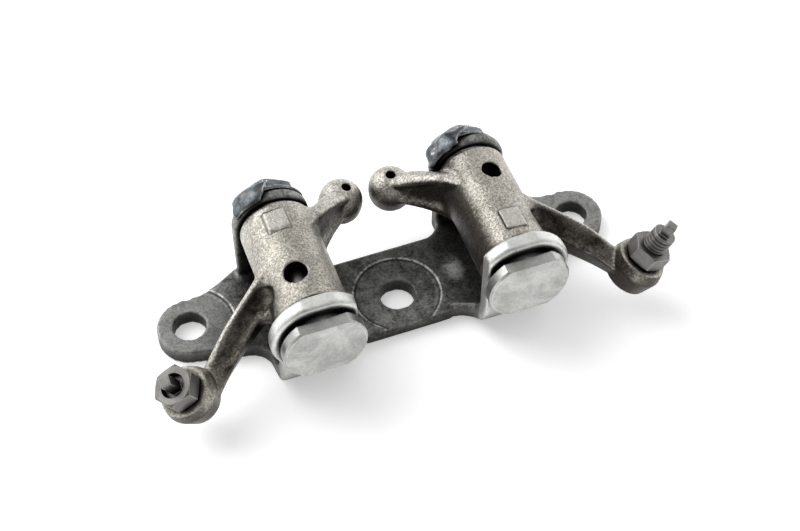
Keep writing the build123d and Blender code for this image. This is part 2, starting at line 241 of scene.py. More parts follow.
grainGroup = makeGrainGroup()
mottleGroup = makeMottleGroup()
edgeGroup = makeEdgeGroup()
hollowGroup = makeHollowGroup()
facingShadeGroup = makeFacingShadeGroup()


def useGroup(tree, group, values=None):
    node = put(tree, "ShaderNodeGroup", node_tree=group)
    for name, value in (values or {}).items():
        node.inputs[name].default_value = value
    return node.outputs


def newMetal(name):
    material = bpy.data.materials.new(name)
    material.use_nodes = True
    tree = material.node_tree
    shader = tree.nodes["Principled BSDF"]
    shader.inputs["Metallic"].default_value = 1.0
    return material, tree, shader


def finishMetal(tree, shader, colour, roughness, height, depth, normal):
    feed(tree, shader.inputs["Base Color"], colour)
    feed(tree, shader.inputs["Roughness"], roughness)
    bump = put(tree, "ShaderNodeBump", {"Distance": depth, "Height": height, "Normal": normal})
    tree.links.new(bump.outputs[0], shader.inputs["Normal"])


print("shader groups ready")


# materials

forged = {
    # the near-black colour is the dark line round each raised pad, and also the painted shade in hollows, under
    # neighbouring parts and on faces turned forward and down
    "bright": (0.68, 0.652, 0.585), "dull": (0.45, 0.424, 0.372), "dirtAndShade": (0.02, 0.015, 0.011),
    # the pale polish colour is the raised pads' own polish, and also a painted highlight on up-facing tops and
    # along the valve arm's ridge
    "worn": (0.62, 0.60, 0.55), "pit": (0.13, 0.118, 0.098), "sheenAndPolish": (0.78, 0.76, 0.70),
    # the dark brown is oil and also painted shade in the valve arm's valley and on its front rim
    "oil": (0.026, 0.02, 0.015),
    "grain": {"Fine": 1700.0, "Coarse": 520.0}, "bump": 0.00036,
    "mottle": {"Blotch": 130.0, "Spot": 900.0, "Spots": 0.4},
    "edge": {"Width": 0.0007},
    # hollow: painted shade in tight hollows; shaded: broad painted shade where neighbouring parts shut out the
    # light
    "hollow": {"Reach": 0.010, "Open": 0.9, "Shut": 0.4},
    "shaded": {"Reach": 0.03, "Open": 0.75, "Shut": 0.3},
    "roughness": (0.46, 0.32),                                  # dull, bright
    # a painted highlight on faces turned up near the middle, over the balls and pushrod arms
    "sheenUp": (0.3, 0.9), "sheenX": (0.027, 0.016),      # where it faces up, by |x|
    "share": {"sheenAndPolish": 0.8, "crestHighlight": 0.7, "pit": 0.66, "pad": 0.45, "padEdge": 0.5,
              "hollow": 0.85, "shaded": 0.8, "facingShade": 0.92},
}
valveArm = {
    "start": (0.038, 0.0044), "heading": (0.802, -0.597),       # |x| and y, as on the right
    "from": (0.006, 0.012), "to": (0.037, 0.031),               # along it, where it fades in and out
    "valley": 0.0044, "wide": 0.0046, "steep": 0.45,            # across it, forward
    "rimFrom": (0.003, 0.005), "rimTo": (0.012, 0.0096), "rimShare": 0.6,
    # a painted highlight along the valve arm's ridge
    "crestHighlight": 0.0002, "crestHighlightFade": (0.0016, 0.0004), "patchy": 0.75,
}
raisedPad = {
    "x": 0.0332, "y": (0.0142, -0.0091),                        # |x|, then y on the left and right
    "half": (0.0033, 0.0036), "fade": (0.0001, -0.0002), "above": (0.037, 0.038),
    "line": 0.0003, "lineFade": (0.0004, 0.0001),
}


def armMasks(tree, outward, y, arm):
    # the valve arm's valley and front rim, darkened by oil and painted shade, and the painted highlight along its
    # ridge, in the arm's own directions
    headX, headY = arm["heading"]
    fromX = minus(tree, outward, arm["start"][0])
    fromY = minus(tree, y, arm["start"][1])
    along = maths(tree, "MULTIPLY_ADD", fromX, headX, times(tree, fromY, headY))
    forward = maths(tree, "MULTIPLY_ADD", fromX, headY, times(tree, fromY, -headX))
    onArm = times(tree, ramp(tree, along, *arm["from"]), ramp(tree, along, *arm["to"]))
    beside = awayFrom(tree, forward, arm["valley"])
    valley = times(tree, ramp(tree, beside, arm["wide"], arm["wide"] * arm["steep"]), onArm)
    # the front rim is darkened too, with painted shade
    rim = times(tree, ramp(tree, forward, *arm["rimFrom"], 0.0, arm["rimShare"]),
                ramp(tree, forward, *arm["rimTo"]))
    valley = maths(tree, "MAXIMUM", valley, times(tree, rim, onArm))
    crestHighlight = ramp(tree, awayFrom(tree, forward, arm["crestHighlight"]), *arm["crestHighlightFade"])
    return valley, times(tree, crestHighlight, onArm)


def padMasks(tree, place, outward, pad):
    # the raised pad on a barrel's top, and the line round it
    x, y, z = place
    padY = ramp(tree, x, -0.001, 0.001, *pad["y"])
    gap = maths(tree, "MAXIMUM", minus(tree, awayFrom(tree, outward, pad["x"]), pad["half"][0]),
                minus(tree, awayFrom(tree, y, padY), pad["half"][1]))
    onTop = ramp(tree, z, *pad["above"])
    line = ramp(tree, awayFrom(tree, gap, pad["line"]), *pad["lineFade"])
    return times(tree, ramp(tree, gap, *pad["fade"]), onTop), times(tree, line, onTop)


def makeForged(name, values):
    # mottled and pitted, with a painted highlight on top of the pushrod arm and ball and along the valve arm's
    # ridge, oil and painted shade in the valve arm's valley, and painted shade in hollows, under neighbouring
    # parts and on faces turned forward and down
    material, tree, shader = newMetal(name)
    share = values["share"]
    grain = useGroup(tree, grainGroup, values["grain"])
    mottle = useGroup(tree, mottleGroup, values["mottle"])["Mask"]
    edge = useGroup(tree, edgeGroup, values["edge"])
    hollow = useGroup(tree, hollowGroup, values["hollow"])["Mask"]
    shaded = useGroup(tree, hollowGroup, values["shaded"])["Mask"]
    facingShadeMask = useGroup(tree, facingShadeGroup)["Mask"]
    place = split(tree, objectPoint(tree))
    upward = split(tree, put(tree, "ShaderNodeTexCoord").outputs["Normal"])[2]
    outward = maths(tree, "ABSOLUTE", place[0])
    # painted highlight on the up-facing tops of the balls and pushrod arms
    sheenAndPolish = times(tree, ramp(tree, upward, *values["sheenUp"]),
                     ramp(tree, outward, *values["sheenX"]))
    valley, crestHighlight = armMasks(tree, outward, place[1], valveArm)
    onPad, padEdge = padMasks(tree, place, outward, raisedPad)
    colour = mixColour(tree, mottle, values["dull"], values["bright"])
    colour = layer(tree, colour, sheenAndPolish, share["sheenAndPolish"], values["sheenAndPolish"])
    # painted highlight along the valve arm's ridge
    colour = layer(tree, colour, crestHighlight, share["crestHighlight"], values["sheenAndPolish"])
    colour = layer(tree, colour, grain["Speckle"], share["pit"], values["pit"])
    colour = layer(tree, colour, onPad, share["pad"], values["sheenAndPolish"])
    colour = layer(tree, colour, padEdge, share["padEdge"], values["dirtAndShade"])
    # oil and painted shade in the valve arm's valley and on its front rim
    oily = ramp(tree, mottle, 0.0, 1.0, 1.0, valveArm["patchy"])
    colour = layer(tree, colour, valley, oily, values["oil"])
    # painted shade: in hollows, under neighbouring parts, and on faces turned forward and down
    colour = layer(tree, colour, hollow, share["hollow"], values["dirtAndShade"])
    colour = layer(tree, colour, shaded, share["shaded"], values["dirtAndShade"])
    colour = layer(tree, colour, facingShadeMask, share["facingShade"], values["dirtAndShade"])
    colour = mixColour(tree, edge["Mask"], colour, values["worn"])
    roughness = ramp(tree, mottle, 0.0, 1.0, *values["roughness"], False)
    finishMetal(tree, shader, colour, roughness, grain["Height"], values["bump"], edge["Normal"])
    return material


plateFinish = {
    # the near-black colour is the cutter's groove round the spot faces, and also the painted shade in hollows,
    # under the rockers and in the slots behind the shaft heads
    "light": (0.44, 0.44, 0.42), "dark": (0.07, 0.07, 0.066), "dirtAndShade": (0.012, 0.011, 0.009),
    "worn": (0.50, 0.49, 0.465), "ear": (0.88, 0.885, 0.85), "earDull": (0.68, 0.69, 0.65),
    "grain": {"Fine": 1800.0, "Coarse": 520.0}, "bump": 0.00022,
    "mottle": {"Blotch": 230.0, "Spot": 1100.0, "Spots": 0.45},
    "edge": {"Width": 0.0013},
    # hollow: painted shade in tight hollows; shaded: broad painted shade under the rockers
    "hollow": {"Reach": 0.008, "Open": 0.9, "Shut": 0.5},
    "shaded": {"Reach": 0.035, "Open": 0.85, "Shut": 0.4},
    "roughness": (0.5, 0.42),                                   # forged, machined
    "earFront": (-0.0168, -0.0178), "earAbove": (0.001, 0.004),     # y and z, where ears are machined
    "share": {"hollow": 0.9, "shaded": 0.85, "gap": 0.93, "groove": 0.7, "lip": 0.6},
}
lobeTone = {"colour": (0.46, 0.46, 0.44), "x": (0.046, 0.06), "share": 0.35}
# a painted highlight where the plate rises toward the right ear
highlightPatch = {
    "colour": (0.9, 0.9, 0.86), "at": (0.0200, 0.0033, 0.0062), "size": (0.0045, 0.0068, 0.02),
    "fade": (1.0, 0.1), "share": 0.9, "mottle": (0.1, 0.8), "patchy": 0.25,
}
# painted shade in the slot between each front ear and its shaft head
earGapShade = {"radius": (0.0132, 0.0120), "y": (-0.0216, -0.0222)}  # dark slot between ear and head
spotRing = {
    "radii": (0.0138, 0.0143), "above": (0.0048, 0.0052), "below": (0.0072, 0.0066),
    "groove": (-0.0005, 0.0006, 0.0001), "lip": (0.0001, 0.0004, 0.0001),   # middle, then the fade
    "mottle": (0.2, 0.7), "patchy": 0.2,
}


def ringMasks(tree, mirrored, z, spot, radius, mottle, values):
    # the cutter's groove round a spot face, and the bright lip beside it
    spoke = put(tree, "ShaderNodeVectorMath", {0: mirrored, 1: (*spot, 0.0)}, operation="DISTANCE")
    beyond = minus(tree, spoke.outputs["Value"], radius)
    onTop = times(tree, ramp(tree, z, *values["above"]), ramp(tree, z, *values["below"]))
    masks = []
    for middle, wide, narrow in (values["groove"], values["lip"]):
        line = ramp(tree, awayFrom(tree, beyond, middle), wide, narrow)
        masks.append(times(tree, line, onTop))
    groove, lip = masks
    return groove, times(tree, lip, ramp(tree, mottle, *values["mottle"], values["patchy"], 1.0))


def highlightPatchMask(tree, mottle, values):
    # a painted highlight inside an ellipsoid, broken up by the mottle
    off = put(tree, "ShaderNodeVectorMath", {
        0: objectPoint(tree), 1: values["at"]}, operation="SUBTRACT").outputs[0]
    off = put(tree, "ShaderNodeVectorMath", {0: off, 1: values["size"]}, operation="DIVIDE").outputs[0]
    span = put(tree, "ShaderNodeVectorMath", {0: off}, operation="LENGTH").outputs["Value"]
    return times(tree, ramp(tree, span, *values["fade"], 0.0, values["share"]),
                 ramp(tree, mottle, *values["mottle"], values["patchy"], 1.0))


def gapShadeMask(tree, outward, y, z, values):
    # painted shade inside a radius round either shaft, at the front
    fromShaft = put(tree, "ShaderNodeCombineXYZ", {
        "X": minus(tree, outward, shaftX), "Z": minus(tree, z, shaftZ)}).outputs[0]
    reach = put(tree, "ShaderNodeVectorMath", {0: fromShaft}, operation="LENGTH").outputs["Value"]
    return times(tree, ramp(tree, reach, *values["radius"]), ramp(tree, y, *values["y"]))


def makePlate(name, values):
    # dark web with painted shade under the rockers, paler bolt lobes, machined front ears, a painted highlight
    # beside the right ear and painted shade in the slots behind the shaft heads
    material, tree, shader = newMetal(name)
    share = values["share"]
    grain = useGroup(tree, grainGroup, values["grain"])
    mottle = useGroup(tree, mottleGroup, values["mottle"])["Mask"]
    edge = useGroup(tree, edgeGroup, values["edge"])
    hollow = useGroup(tree, hollowGroup, values["hollow"])["Mask"]
    shaded = useGroup(tree, hollowGroup, values["shaded"])["Mask"]
    x, y, z = split(tree, objectPoint(tree))
    outward = maths(tree, "ABSOLUTE", x)
    machined = times(tree, ramp(tree, y, *values["earFront"]), ramp(tree, z, *values["earAbove"]))
    colour = mixColour(tree, mottle, values["dark"], values["light"])
    atLobe = ramp(tree, outward, *lobeTone["x"], 0.0, lobeTone["share"])
    colour = mixColour(tree, atLobe, colour, lobeTone["colour"])
    ear = mixColour(tree, mottle, values["earDull"], values["ear"])
    colour = mixColour(tree, machined, colour, ear)
    # painted shade in hollows and under the rockers
    colour = layer(tree, colour, hollow, share["hollow"], values["dirtAndShade"])
    colour = layer(tree, colour, shaded, share["shaded"], values["dirtAndShade"])
    # painted highlight beside the right ear
    colour = mixColour(tree, highlightPatchMask(tree, mottle, highlightPatch), colour, highlightPatch["colour"])
    # painted shade in the slots behind the shaft heads
    colour = layer(tree, colour, gapShadeMask(tree, outward, y, z, earGapShade), share["gap"], values["dirtAndShade"])
    mirrored = put(tree, "ShaderNodeCombineXYZ", {"X": outward, "Y": y}).outputs[0]
    for spot, radius in zip(spotFaces, spotRing["radii"]):
        groove, lip = ringMasks(tree, mirrored, z, spot, radius, mottle, spotRing)
        colour = layer(tree, colour, groove, share["groove"], values["dirtAndShade"])
        colour = layer(tree, colour, lip, share["lip"], values["ear"])
    colour = mixColour(tree, edge["Mask"], colour, values["worn"])
    roughness = ramp(tree, machined, 0.0, 1.0, *values["roughness"], False)
    finishMetal(tree, shader, colour, roughness, grain["Height"], values["bump"], edge["Normal"])
    return material


# machined, ground and plated metals, faintly stained, with painted shade in their hollows

turned = {
    "grain": {"Fine": 3200.0, "Coarse": 700.0}, "spot": 1500.0, "spots": 0.25, "blotch": 160.0,
    # the near-black colour and its share are painted shade in the hollows
    "reach": 0.003, "open": 0.7, "shut": 0.3, "dirtAndShade": (0.02, 0.017, 0.014), "hollowShadeShare": 0.92,
    "worn": (0.8, 0.79, 0.76), "edge": 0.0004, "rust": None,
}
turnedFinishes = {
    "groundSteel": {"bright": (0.60, 0.604, 0.578), "dull": (0.32, 0.324, 0.307), "rough": 0.36,
                    "bump": 0.00003, "blotch": 90.0, "reach": 0.008},
    "hardSteel": {"bright": (0.23, 0.225, 0.21), "dull": (0.15, 0.145, 0.136), "rough": 0.42,
                  "bump": 0.00008, "worn": (0.6, 0.59, 0.56)},
    "zincPlate": {"bright": (0.19, 0.205, 0.217), "dull": (0.04, 0.046, 0.052), "rough": 0.2,
                  # the near-white worn edges are partly wear and partly a painted edge highlight
                  "bump": 0.00008, "blotch": 200.0, "worn": (0.9, 0.91, 0.93), "edge": 0.0009,
                  "rust": {"at": (-0.0384, 0.0280, 0.0392), "size": 0.0012, "ragged": 0.004,
                           "fade": (0.002, 0.001), "colour": (0.42, 0.17, 0.04)}},
    "bronze": {"bright": (0.66, 0.46, 0.26), "dull": (0.5, 0.33, 0.17), "rough": 0.35,
               "bump": 0.00004},
}


def rustMask(tree, height, rust):
    # one spot with a ragged edge
    near = put(tree, "ShaderNodeVectorMath", {
        0: objectPoint(tree), 1: rust["at"]}, operation="DISTANCE").outputs["Value"]
    ragged = maths(tree, "MULTIPLY_ADD", height, rust["ragged"], near)
    return ramp(tree, ragged, *(rust["size"] + further for further in rust["fade"]))


def makeTurned(name, values):
    material, tree, shader = newMetal(name)
    grain = useGroup(tree, grainGroup, values["grain"])
    mottle = useGroup(tree, mottleGroup, {
        "Blotch": values["blotch"], "Spot": values["spot"], "Spots": values["spots"]})["Mask"]
    edge = useGroup(tree, edgeGroup, {"Width": values["edge"]})
    hollow = useGroup(tree, hollowGroup, {
        "Reach": values["reach"], "Open": values["open"], "Shut": values["shut"]})["Mask"]
    colour = mixColour(tree, mottle, values["dull"], values["bright"])
    # painted shade in hollows
    colour = layer(tree, colour, hollow, values["hollowShadeShare"], values["dirtAndShade"])
    colour = mixColour(tree, edge["Mask"], colour, values["worn"])
    if values["rust"]:
        spot = rustMask(tree, grain["Height"], values["rust"])
        colour = mixColour(tree, spot, colour, values["rust"]["colour"])
    finishMetal(tree, shader, colour, values["rough"], grain["Height"], values["bump"],
                edge["Normal"])
    return material


forgedSteel = makeForged("forgedSteel", forged)
plateSteel = makePlate("plateSteel", plateFinish)
groundSteel, hardSteel, zincPlate, bronze = (
    makeTurned(name, {**turned, **own}) for name, own in turnedFinishes.items())

finishOf = {
    "base_plate": plateSteel, "rocker": forgedSteel, "bush": bronze, "adjuster": hardSteel,
    "lock": hardSteel, "shaft_nut": zincPlate, "shaft": groundSteel, "thrust": groundSteel,
    "tab": zincPlate,
}


def dress(target, material):
    target.data.materials.clear()
    target.data.materials.append(material)


for name, piece in nodes.items():
    key = next(key for key in finishOf if name.startswith(key))
    dress(piece, finishOf[key])
print("materials ready")


def adjusterAxis(side):
    # where an adjuster leaves its boss, and which way it points
    nut = joints[f"{side}_lock_nut_turn"]
    return Vector(nut["pos_m"]), Vector(nut["axis"]).normalized()


# forged rockers: the solids' shapes with the soft junctions of a forging

forging = {
    "grid": 0.35 * mm, "rounds": 4, "armRounds": 40,
    # how freely each place is smoothed: distances over which it goes from least to most
    "barrel": (11.9 * mm, 13.8 * mm),
    "boss": {"from": 8.2 * mm, "to": 11 * mm, "least": 0.12, "most": 0.87},
    "oilWay": {"left": (6.4 * mm, 28.2 * mm), "right": (8.3 * mm, 28.4 * mm), "above": 20 * mm,
               "from": 2.2 * mm, "to": 4.4 * mm, "edge": 5 * mm, "least": 0.08},
}
# broad top of the pushrod arm, running out onto the ball, in mm as on the right rocker
saddleTop = {
    "heading": (0.775, -0.632), "points": 20, "tip": 1.0,
    # places, half width, half depth
    "stations": (((20.5, 16.2, 36.8), 2.2, 1.6), ((17.0, 19.4, 35.2), 2.9, 1.7),
                 ((13.2, 22.8, 32.9), 3.3, 1.9), ((10.2, 25.2, 30.6), 3.4, 1.9),
                 ((9.0, 26.2, 29.5), 2.6, 1.5)),
}


def weldedCopy(node, name):
    mesh = nodes[node].data.copy()
    mesh.name = name
    work = bmesh.new()
    work.from_mesh(mesh)
    bmesh.ops.remove_doubles(work, verts=work.verts, dist=0.002 * mm)
    work.to_mesh(mesh)
    work.free()
    copy = bpy.data.objects.new(name, mesh)
    scene.collection.objects.link(copy)
    return copy


def addSolid(piece, build, *given):
    # one more closed solid in a piece, which its remesh then takes up
    work = bmesh.new()
    work.from_mesh(piece.data)
    build(work, *given)
    bmesh.ops.recalc_face_normals(work, faces=work.faces)
    work.to_mesh(piece.data)
    work.free()


def baked(piece):
    # the evaluated shape as a plain mesh, modifiers removed
    graph = bpy.context.evaluated_depsgraph_get()
    mesh = bpy.data.meshes.new_from_object(piece.evaluated_get(graph))
    piece.modifiers.clear()
    piece.data = mesh
    mesh.name = piece.name
    return piece


def softened(piece, rounds, group=""):
    smooth = piece.modifiers.new("soften", "SMOOTH")
    smooth.factor = 0.5
    smooth.iterations = rounds
    smooth.vertex_group = group
    return baked(piece)


def softenedBy(piece, rounds, weightAt):
    # smoothed more or less from place to place
    group = piece.vertex_groups.new(name="soft")
    for vertex in piece.data.vertices:
        group.add([vertex.index], weightAt(vertex.co), "REPLACE")
    softened(piece, rounds, group.name)
    piece.vertex_groups.clear()
    piece.data.shade_smooth()


def reskinned(piece, values):
    remesh = piece.modifiers.new("skin", "REMESH")
    remesh.mode = "VOXEL"
    remesh.voxel_size = values["grid"]
    return softened(piece, values["rounds"])


def between(value, low, high):
    share = min(max((value - low) / (high - low), 0.0), 1.0)
    return share * share * (3 - 2 * share)


def joinRings(work, rings):
    # walls between rings of points; a ring of one point closes an end
    for low, high in zip(rings, rings[1:]):
        count = max(len(low), len(high))
        for i in range(count):
            j = (i + 1) % count
            if len(low) == 1:
                work.faces.new((low[0], high[j], high[i]))
            elif len(high) == 1:
                work.faces.new((low[i], low[j], high[0]))
            else:
                work.faces.new((low[i], low[j], high[j], high[i]))


def saddle(work, sign):
    # a flattened tube laid along the arm's top, pointed at both ends
    headX, headY = saddleTop["heading"]
    away = Vector((headX * sign, headY, 0))
    across = Vector((-headY * sign, headX, 0))
    up = Vector((0, 0, 1))
    count = saddleTop["points"]
    rings = []
    for (x, y, z), wide, deep in saddleTop["stations"]:
        middle = Vector((sign * x, y, z - deep)) * mm
        rings.append([work.verts.new(
            middle + across * (wide * mm * cos(2 * pi * i / count))
            + up * (deep * mm * sin(2 * pi * i / count))) for i in range(count)])
    start, end = (
        [work.verts.new(sum((v.co for v in ring), Vector()) / count + out * saddleTop["tip"] * mm)]
        for ring, out in ((rings[0], away), (rings[-1], -away)))
    joinRings(work, [start, *rings, end])


def armWeight(point, side):
    # arms are smoothed fully; the boss and the ball's oil way less, and the barrel not at all
    sign = sides[side]
    share = between(Vector((point.x - sign * shaftX, point.z - shaftZ)).length, *forging["barrel"])
    seat, axis = adjusterAxis(side)
    fromSeat = point - seat
    boss = forging["boss"]
    off = (fromSeat - fromSeat.dot(axis) * axis).length
    if off < boss["to"]:
        free = between(off, boss["from"], boss["to"])
        share *= boss["least"] + (boss["most"] - boss["least"]) * free
    way = forging["oilWay"]
    x, y = way[side]
    off = Vector((point.x * sign - x, point.y - y)).length
    if off < way["edge"] and point.z > way["above"]:
        share *= way["least"] + (1 - way["least"]) * between(off, way["from"], way["to"])
    return share


for side, sign in sides.items():
    rocker = weldedCopy(f"rocker_{side}", f"forged_rocker_{side}")
    addSolid(rocker, saddle, sign)
    reskinned(rocker, forging)
    softenedBy(rocker, forging["armRounds"], lambda point: armWeight(point, side))
    dress(rocker, forgedSteel)
    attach(rocker, f"{side}_rocker")
    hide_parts(f"rocker_{side}")
    print(rocker.name, len(rocker.data.polygons), "faces")


# tab washers, each with its big tab beaten down over the nut and the ear's rim

crumple = {
    "grid": 0.3 * mm, "rounds": 4,
    "steps": (30, 12), "thick": 0.9 * mm, "front": 22.6 * mm, "back": 29.6 * mm,
    "radii": (12.5 * mm, 12.9 * mm, 11.9 * mm),       # front lip, bulge, back edge
    "torn": 3.0, "tears": 5,                          # ragged end: degrees, and how many tears
    "dent": 0.7 * mm, "dents": 230.0, "dented": (10.0 * mm, 12.0 * mm),
    "left": {"start": 152, "frontEnd": 105, "backEnd": 86},       # degrees round the shaft
    "right": {"start": 160, "frontEnd": 118, "backEnd": 74},
}


def beatenTab(work, side, sign):
    # a closed curved sheet round the shaft's axis
    across, deep = crumple["steps"]
    lip, bulge, edge = crumple["radii"]
    tab = crumple[side]
    skins = []
    for half in (crumple["thick"] / 2, -crumple["thick"] / 2):
        skin = []
        for j in range(deep + 1):
            v = j / deep
            radius = lip * (1 - v) * (1 - 2 * v) + bulge * 4 * v * (1 - v) + edge * v * (2 * v - 1)
            torn = crumple["torn"] * noise.noise(Vector((v * crumple["tears"], sign, 0)))
            end = tab["frontEnd"] + (tab["backEnd"] - tab["frontEnd"]) * v + torn
            y = crumple["front"] + (crumple["back"] - crumple["front"]) * v
            angles = [radians(tab["start"] + (end - tab["start"]) * i / across)
                      for i in range(across + 1)]
            skin.append([work.verts.new((
                sign * shaftX + (radius + half) * cos(angle), y,
                shaftZ + (radius + half) * sin(angle))) for angle in angles])
        skins.append(skin)
    outer, inner = skins
    for j in range(deep):
        for i in range(across):
            work.faces.new((outer[j][i], outer[j + 1][i], outer[j + 1][i + 1], outer[j][i + 1]))
            work.faces.new((inner[j][i], inner[j][i + 1], inner[j + 1][i + 1], inner[j + 1][i]))
    for i in range(across):
        work.faces.new((outer[0][i], outer[0][i + 1], inner[0][i + 1], inner[0][i]))
        work.faces.new((outer[-1][i], inner[-1][i], inner[-1][i + 1], outer[-1][i + 1]))
    for j in range(deep):
        work.faces.new((outer[j][0], inner[j][0], inner[j + 1][0], outer[j + 1][0]))
        work.faces.new((outer[j][-1], outer[j + 1][-1], inner[j + 1][-1], inner[j][-1]))


def dent(piece, sign):
    # pushes the outer part in and out along its own normals
    facings = [vertex.normal.copy() for vertex in piece.data.vertices]
    shift = Vector((sign * 3.0, 0, 0))                # so that the two tabs differ
    for vertex, facing in zip(piece.data.vertices, facings):
        reach = Vector((vertex.co.x - sign * shaftX, vertex.co.z - shaftZ)).length
        depth = crumple["dent"] * noise.noise(vertex.co * crumple["dents"] + shift)
        vertex.co += facing * depth * between(reach, *crumple["dented"])
    piece.data.shade_smooth()


for side, sign in sides.items():
    washer = weldedCopy(f"tab_washer_{side}", f"folded_tab_{side}")
    addSolid(washer, beatenTab, side, sign)
    reskinned(washer, crumple)
    dent(washer, sign)
    dress(washer, zincPlate)
    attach(washer, "carrier")
    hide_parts(f"tab_washer_{side}")
    print(washer.name, len(washer.data.polygons), "faces")


# the plate, its edges and ears rounded as a forging's; the spot faces stay crisp

casting = {
    "grid": 0.5 * mm, "rounds": 4, "earRounds": 5,
    "spotEdge": (14.6 * mm, 16.0 * mm), "above": (7.0 * mm, 8.5 * mm),
}


def plateWeight(point):
    spots = min(Vector((abs(point.x) - x, point.y - y)).length for x, y in spotFaces)
    return max(between(spots, *casting["spotEdge"]), between(point.z, *casting["above"]))


plate = reskinned(weldedCopy("base_plate", "forged_base_plate"), casting)
softenedBy(plate, casting["earRounds"], plateWeight)
dress(plate, plateSteel)
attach(plate, "carrier")
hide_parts("base_plate")
print(plate.name, len(plate.data.polygons), "faces")


# adjuster screws, with rolled threads

screw = {
    "radius": 3.8 * mm, "pitch": 1.25 * mm, "depth": 0.66 * mm, "sides": 56, "perTurn": 10,
    "length": 26.0 * mm, "stubSide": 3.2 * mm, "stubEdge": 0.22 * mm, "overlap": 0.2 * mm,
    "footLength": 3.0 * mm, "footRadius": 3.4 * mm, "footSides": 40,
    "foot": ((0.0, 0.0), (0.55, 0.0), (0.84, 0.14), (1.0, 0.5)),      # shares of radius and length
    "left": {"top": 10.0 * mm, "stubLength": 6.4 * mm, "turn": radians(-5)},
    "right": {"top": 15.9 * mm, "stubLength": 4.2 * mm, "turn": radians(44)},
}


def makeThreadTree():
    # a round bar along Z whose wall is pushed in along a helix
    group, given, result = newGroup("rolledThread", "GeometryNodeTree", [
        ("Radius", "NodeSocketFloat", 0.004), ("Length", "NodeSocketFloat", 0.02),
        ("Pitch", "NodeSocketFloat", 0.00125), ("Depth", "NodeSocketFloat", 0.0006),
        ("Sides", "NodeSocketInt", 48), ("Rings", "NodeSocketInt", 100),
        ("Finish", "NodeSocketMaterial", None)], [("Geometry", "NodeSocketGeometry")])
    give = given.outputs
    bar = put(group, "GeometryNodeMeshCylinder", {
        "Vertices": give["Sides"], "Side Segments": give["Rings"], "Radius": give["Radius"],
        "Depth": give["Length"]})
    x, y, z = split(group, put(group, "GeometryNodeInputPosition").outputs[0])
    turn = maths(group, "DIVIDE", maths(group, "ARCTAN2", y, x), 2 * pi)
    climb = maths(group, "DIVIDE", z, give["Pitch"])
    phase = maths(group, "FRACT", minus(group, climb, turn))
    wave = maths(group, "ABSOLUTE", maths(group, "MULTIPLY_ADD", phase, 2.0, -1.0))
    groove = ramp(group, wave, 0.16, 0.9)
    toEnd = minus(group, times(group, give["Length"], 0.5), maths(group, "ABSOLUTE", z))
    fade = ramp(group, maths(group, "DIVIDE", toEnd, give["Pitch"]), 0.0, 0.7, 0.35, 1.0)
    cut = times(group, times(group, groove, fade), give["Depth"])
    ratio = minus(group, 1.0, maths(group, "DIVIDE", cut, give["Radius"]))
    scaled = put(group, "ShaderNodeCombineXYZ", {
        "X": times(group, x, ratio), "Y": times(group, y, ratio), "Z": z})
    moved = put(group, "GeometryNodeSetPosition", {
        "Geometry": bar.outputs["Mesh"], "Position": scaled.outputs[0]})
    real = put(group, "GeometryNodeRealizeInstances", {"Geometry": moved.outputs[0]})
    painted = put(group, "GeometryNodeSetMaterial", {
        "Geometry": real.outputs[0], "Material": give["Finish"]})
    group.links.new(painted.outputs[0], result.inputs["Geometry"])
    return group


threadTree = makeThreadTree()


def threadedBar(name, length, finish):
    bar = bpy.data.objects.new(name, bpy.data.meshes.new(name))
    scene.collection.objects.link(bar)
    rings = round(length / screw["pitch"] * screw["perTurn"])
    values = {"Radius": screw["radius"], "Length": length, "Pitch": screw["pitch"],
              "Depth": screw["depth"], "Sides": screw["sides"], "Rings": rings, "Finish": finish}
    modifier = bar.modifiers.new("thread", "NODES")
    modifier.node_group = threadTree
    for item in threadTree.interface.items_tree:
        if item.in_out == "INPUT":
            modifier[item.identifier] = values[item.name]
    return baked(bar)


def axisPlace(origin, axis, turn):
    # Z along axis, X as level as it can be, then turned
    across = Vector((0, 1, 0)).cross(axis).normalized()
    up = axis.cross(across)
    basis = Matrix((across, up, axis)).transposed().to_4x4()
    return Matrix.Translation(origin) @ basis @ Matrix.Rotation(turn, 4, "Z")


def lathe(work, profile, count):
    # closed profile of (radius, height) turned about Z; ends on the axis are single points
    rings = []
    for radius, height in profile:
        angles = [2 * pi * i / count for i in range(count)] if radius else [0.0]
        rings.append([work.verts.new((radius * cos(a), radius * sin(a), height)) for a in angles])
    joinRings(work, rings)


def addFoot(work, bottom):
    radius, length = screw["footRadius"], screw["footLength"]
    top = bottom + length + screw["overlap"]
    profile = [(radius * wide, bottom + length * high) for wide, high in screw["foot"]]
    lathe(work, [*profile, (radius, top), (0, top)], screw["footSides"])


def addStub(work, top, length):
    # the square end that a small spanner turns
    length += screw["overlap"]
    stub = bmesh.ops.create_cube(work, size=1.0)["verts"]
    bmesh.ops.scale(work, verts=stub, vec=(screw["stubSide"], screw["stubSide"], length))
    bmesh.ops.translate(work, verts=stub, vec=(0, 0, top - length / 2))
    edges = list({edge for vert in stub for edge in vert.link_edges})
    bmesh.ops.bevel(work, geom=edges, offset=screw["stubEdge"], segments=2, profile=0.6, affect="EDGES")


for side in sides:
    values = screw[side]
    threadTop = values["top"] - values["stubLength"]
    bottom = values["top"] - screw["length"]
    threadLength = threadTop - bottom - screw["footLength"]
    bar = threadedBar(f"adjuster_{side}", threadLength, hardSteel)
    work = bmesh.new()
    work.from_mesh(bar.data)
    bmesh.ops.translate(work, verts=work.verts, vec=(0, 0, threadTop - threadLength / 2))
    addFoot(work, bottom)
    addStub(work, values["top"], values["stubLength"])
    work.transform(axisPlace(*adjusterAxis(side), values["turn"]))
    work.to_mesh(bar.data)
    work.free()
    bar.data.set_sharp_from_angle(angle=radians(50))
    dress(bar, hardSteel)
    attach(bar, f"{side}_adjuster")
    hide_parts(f"adjuster_screw_{side}")
print("adjusters made")


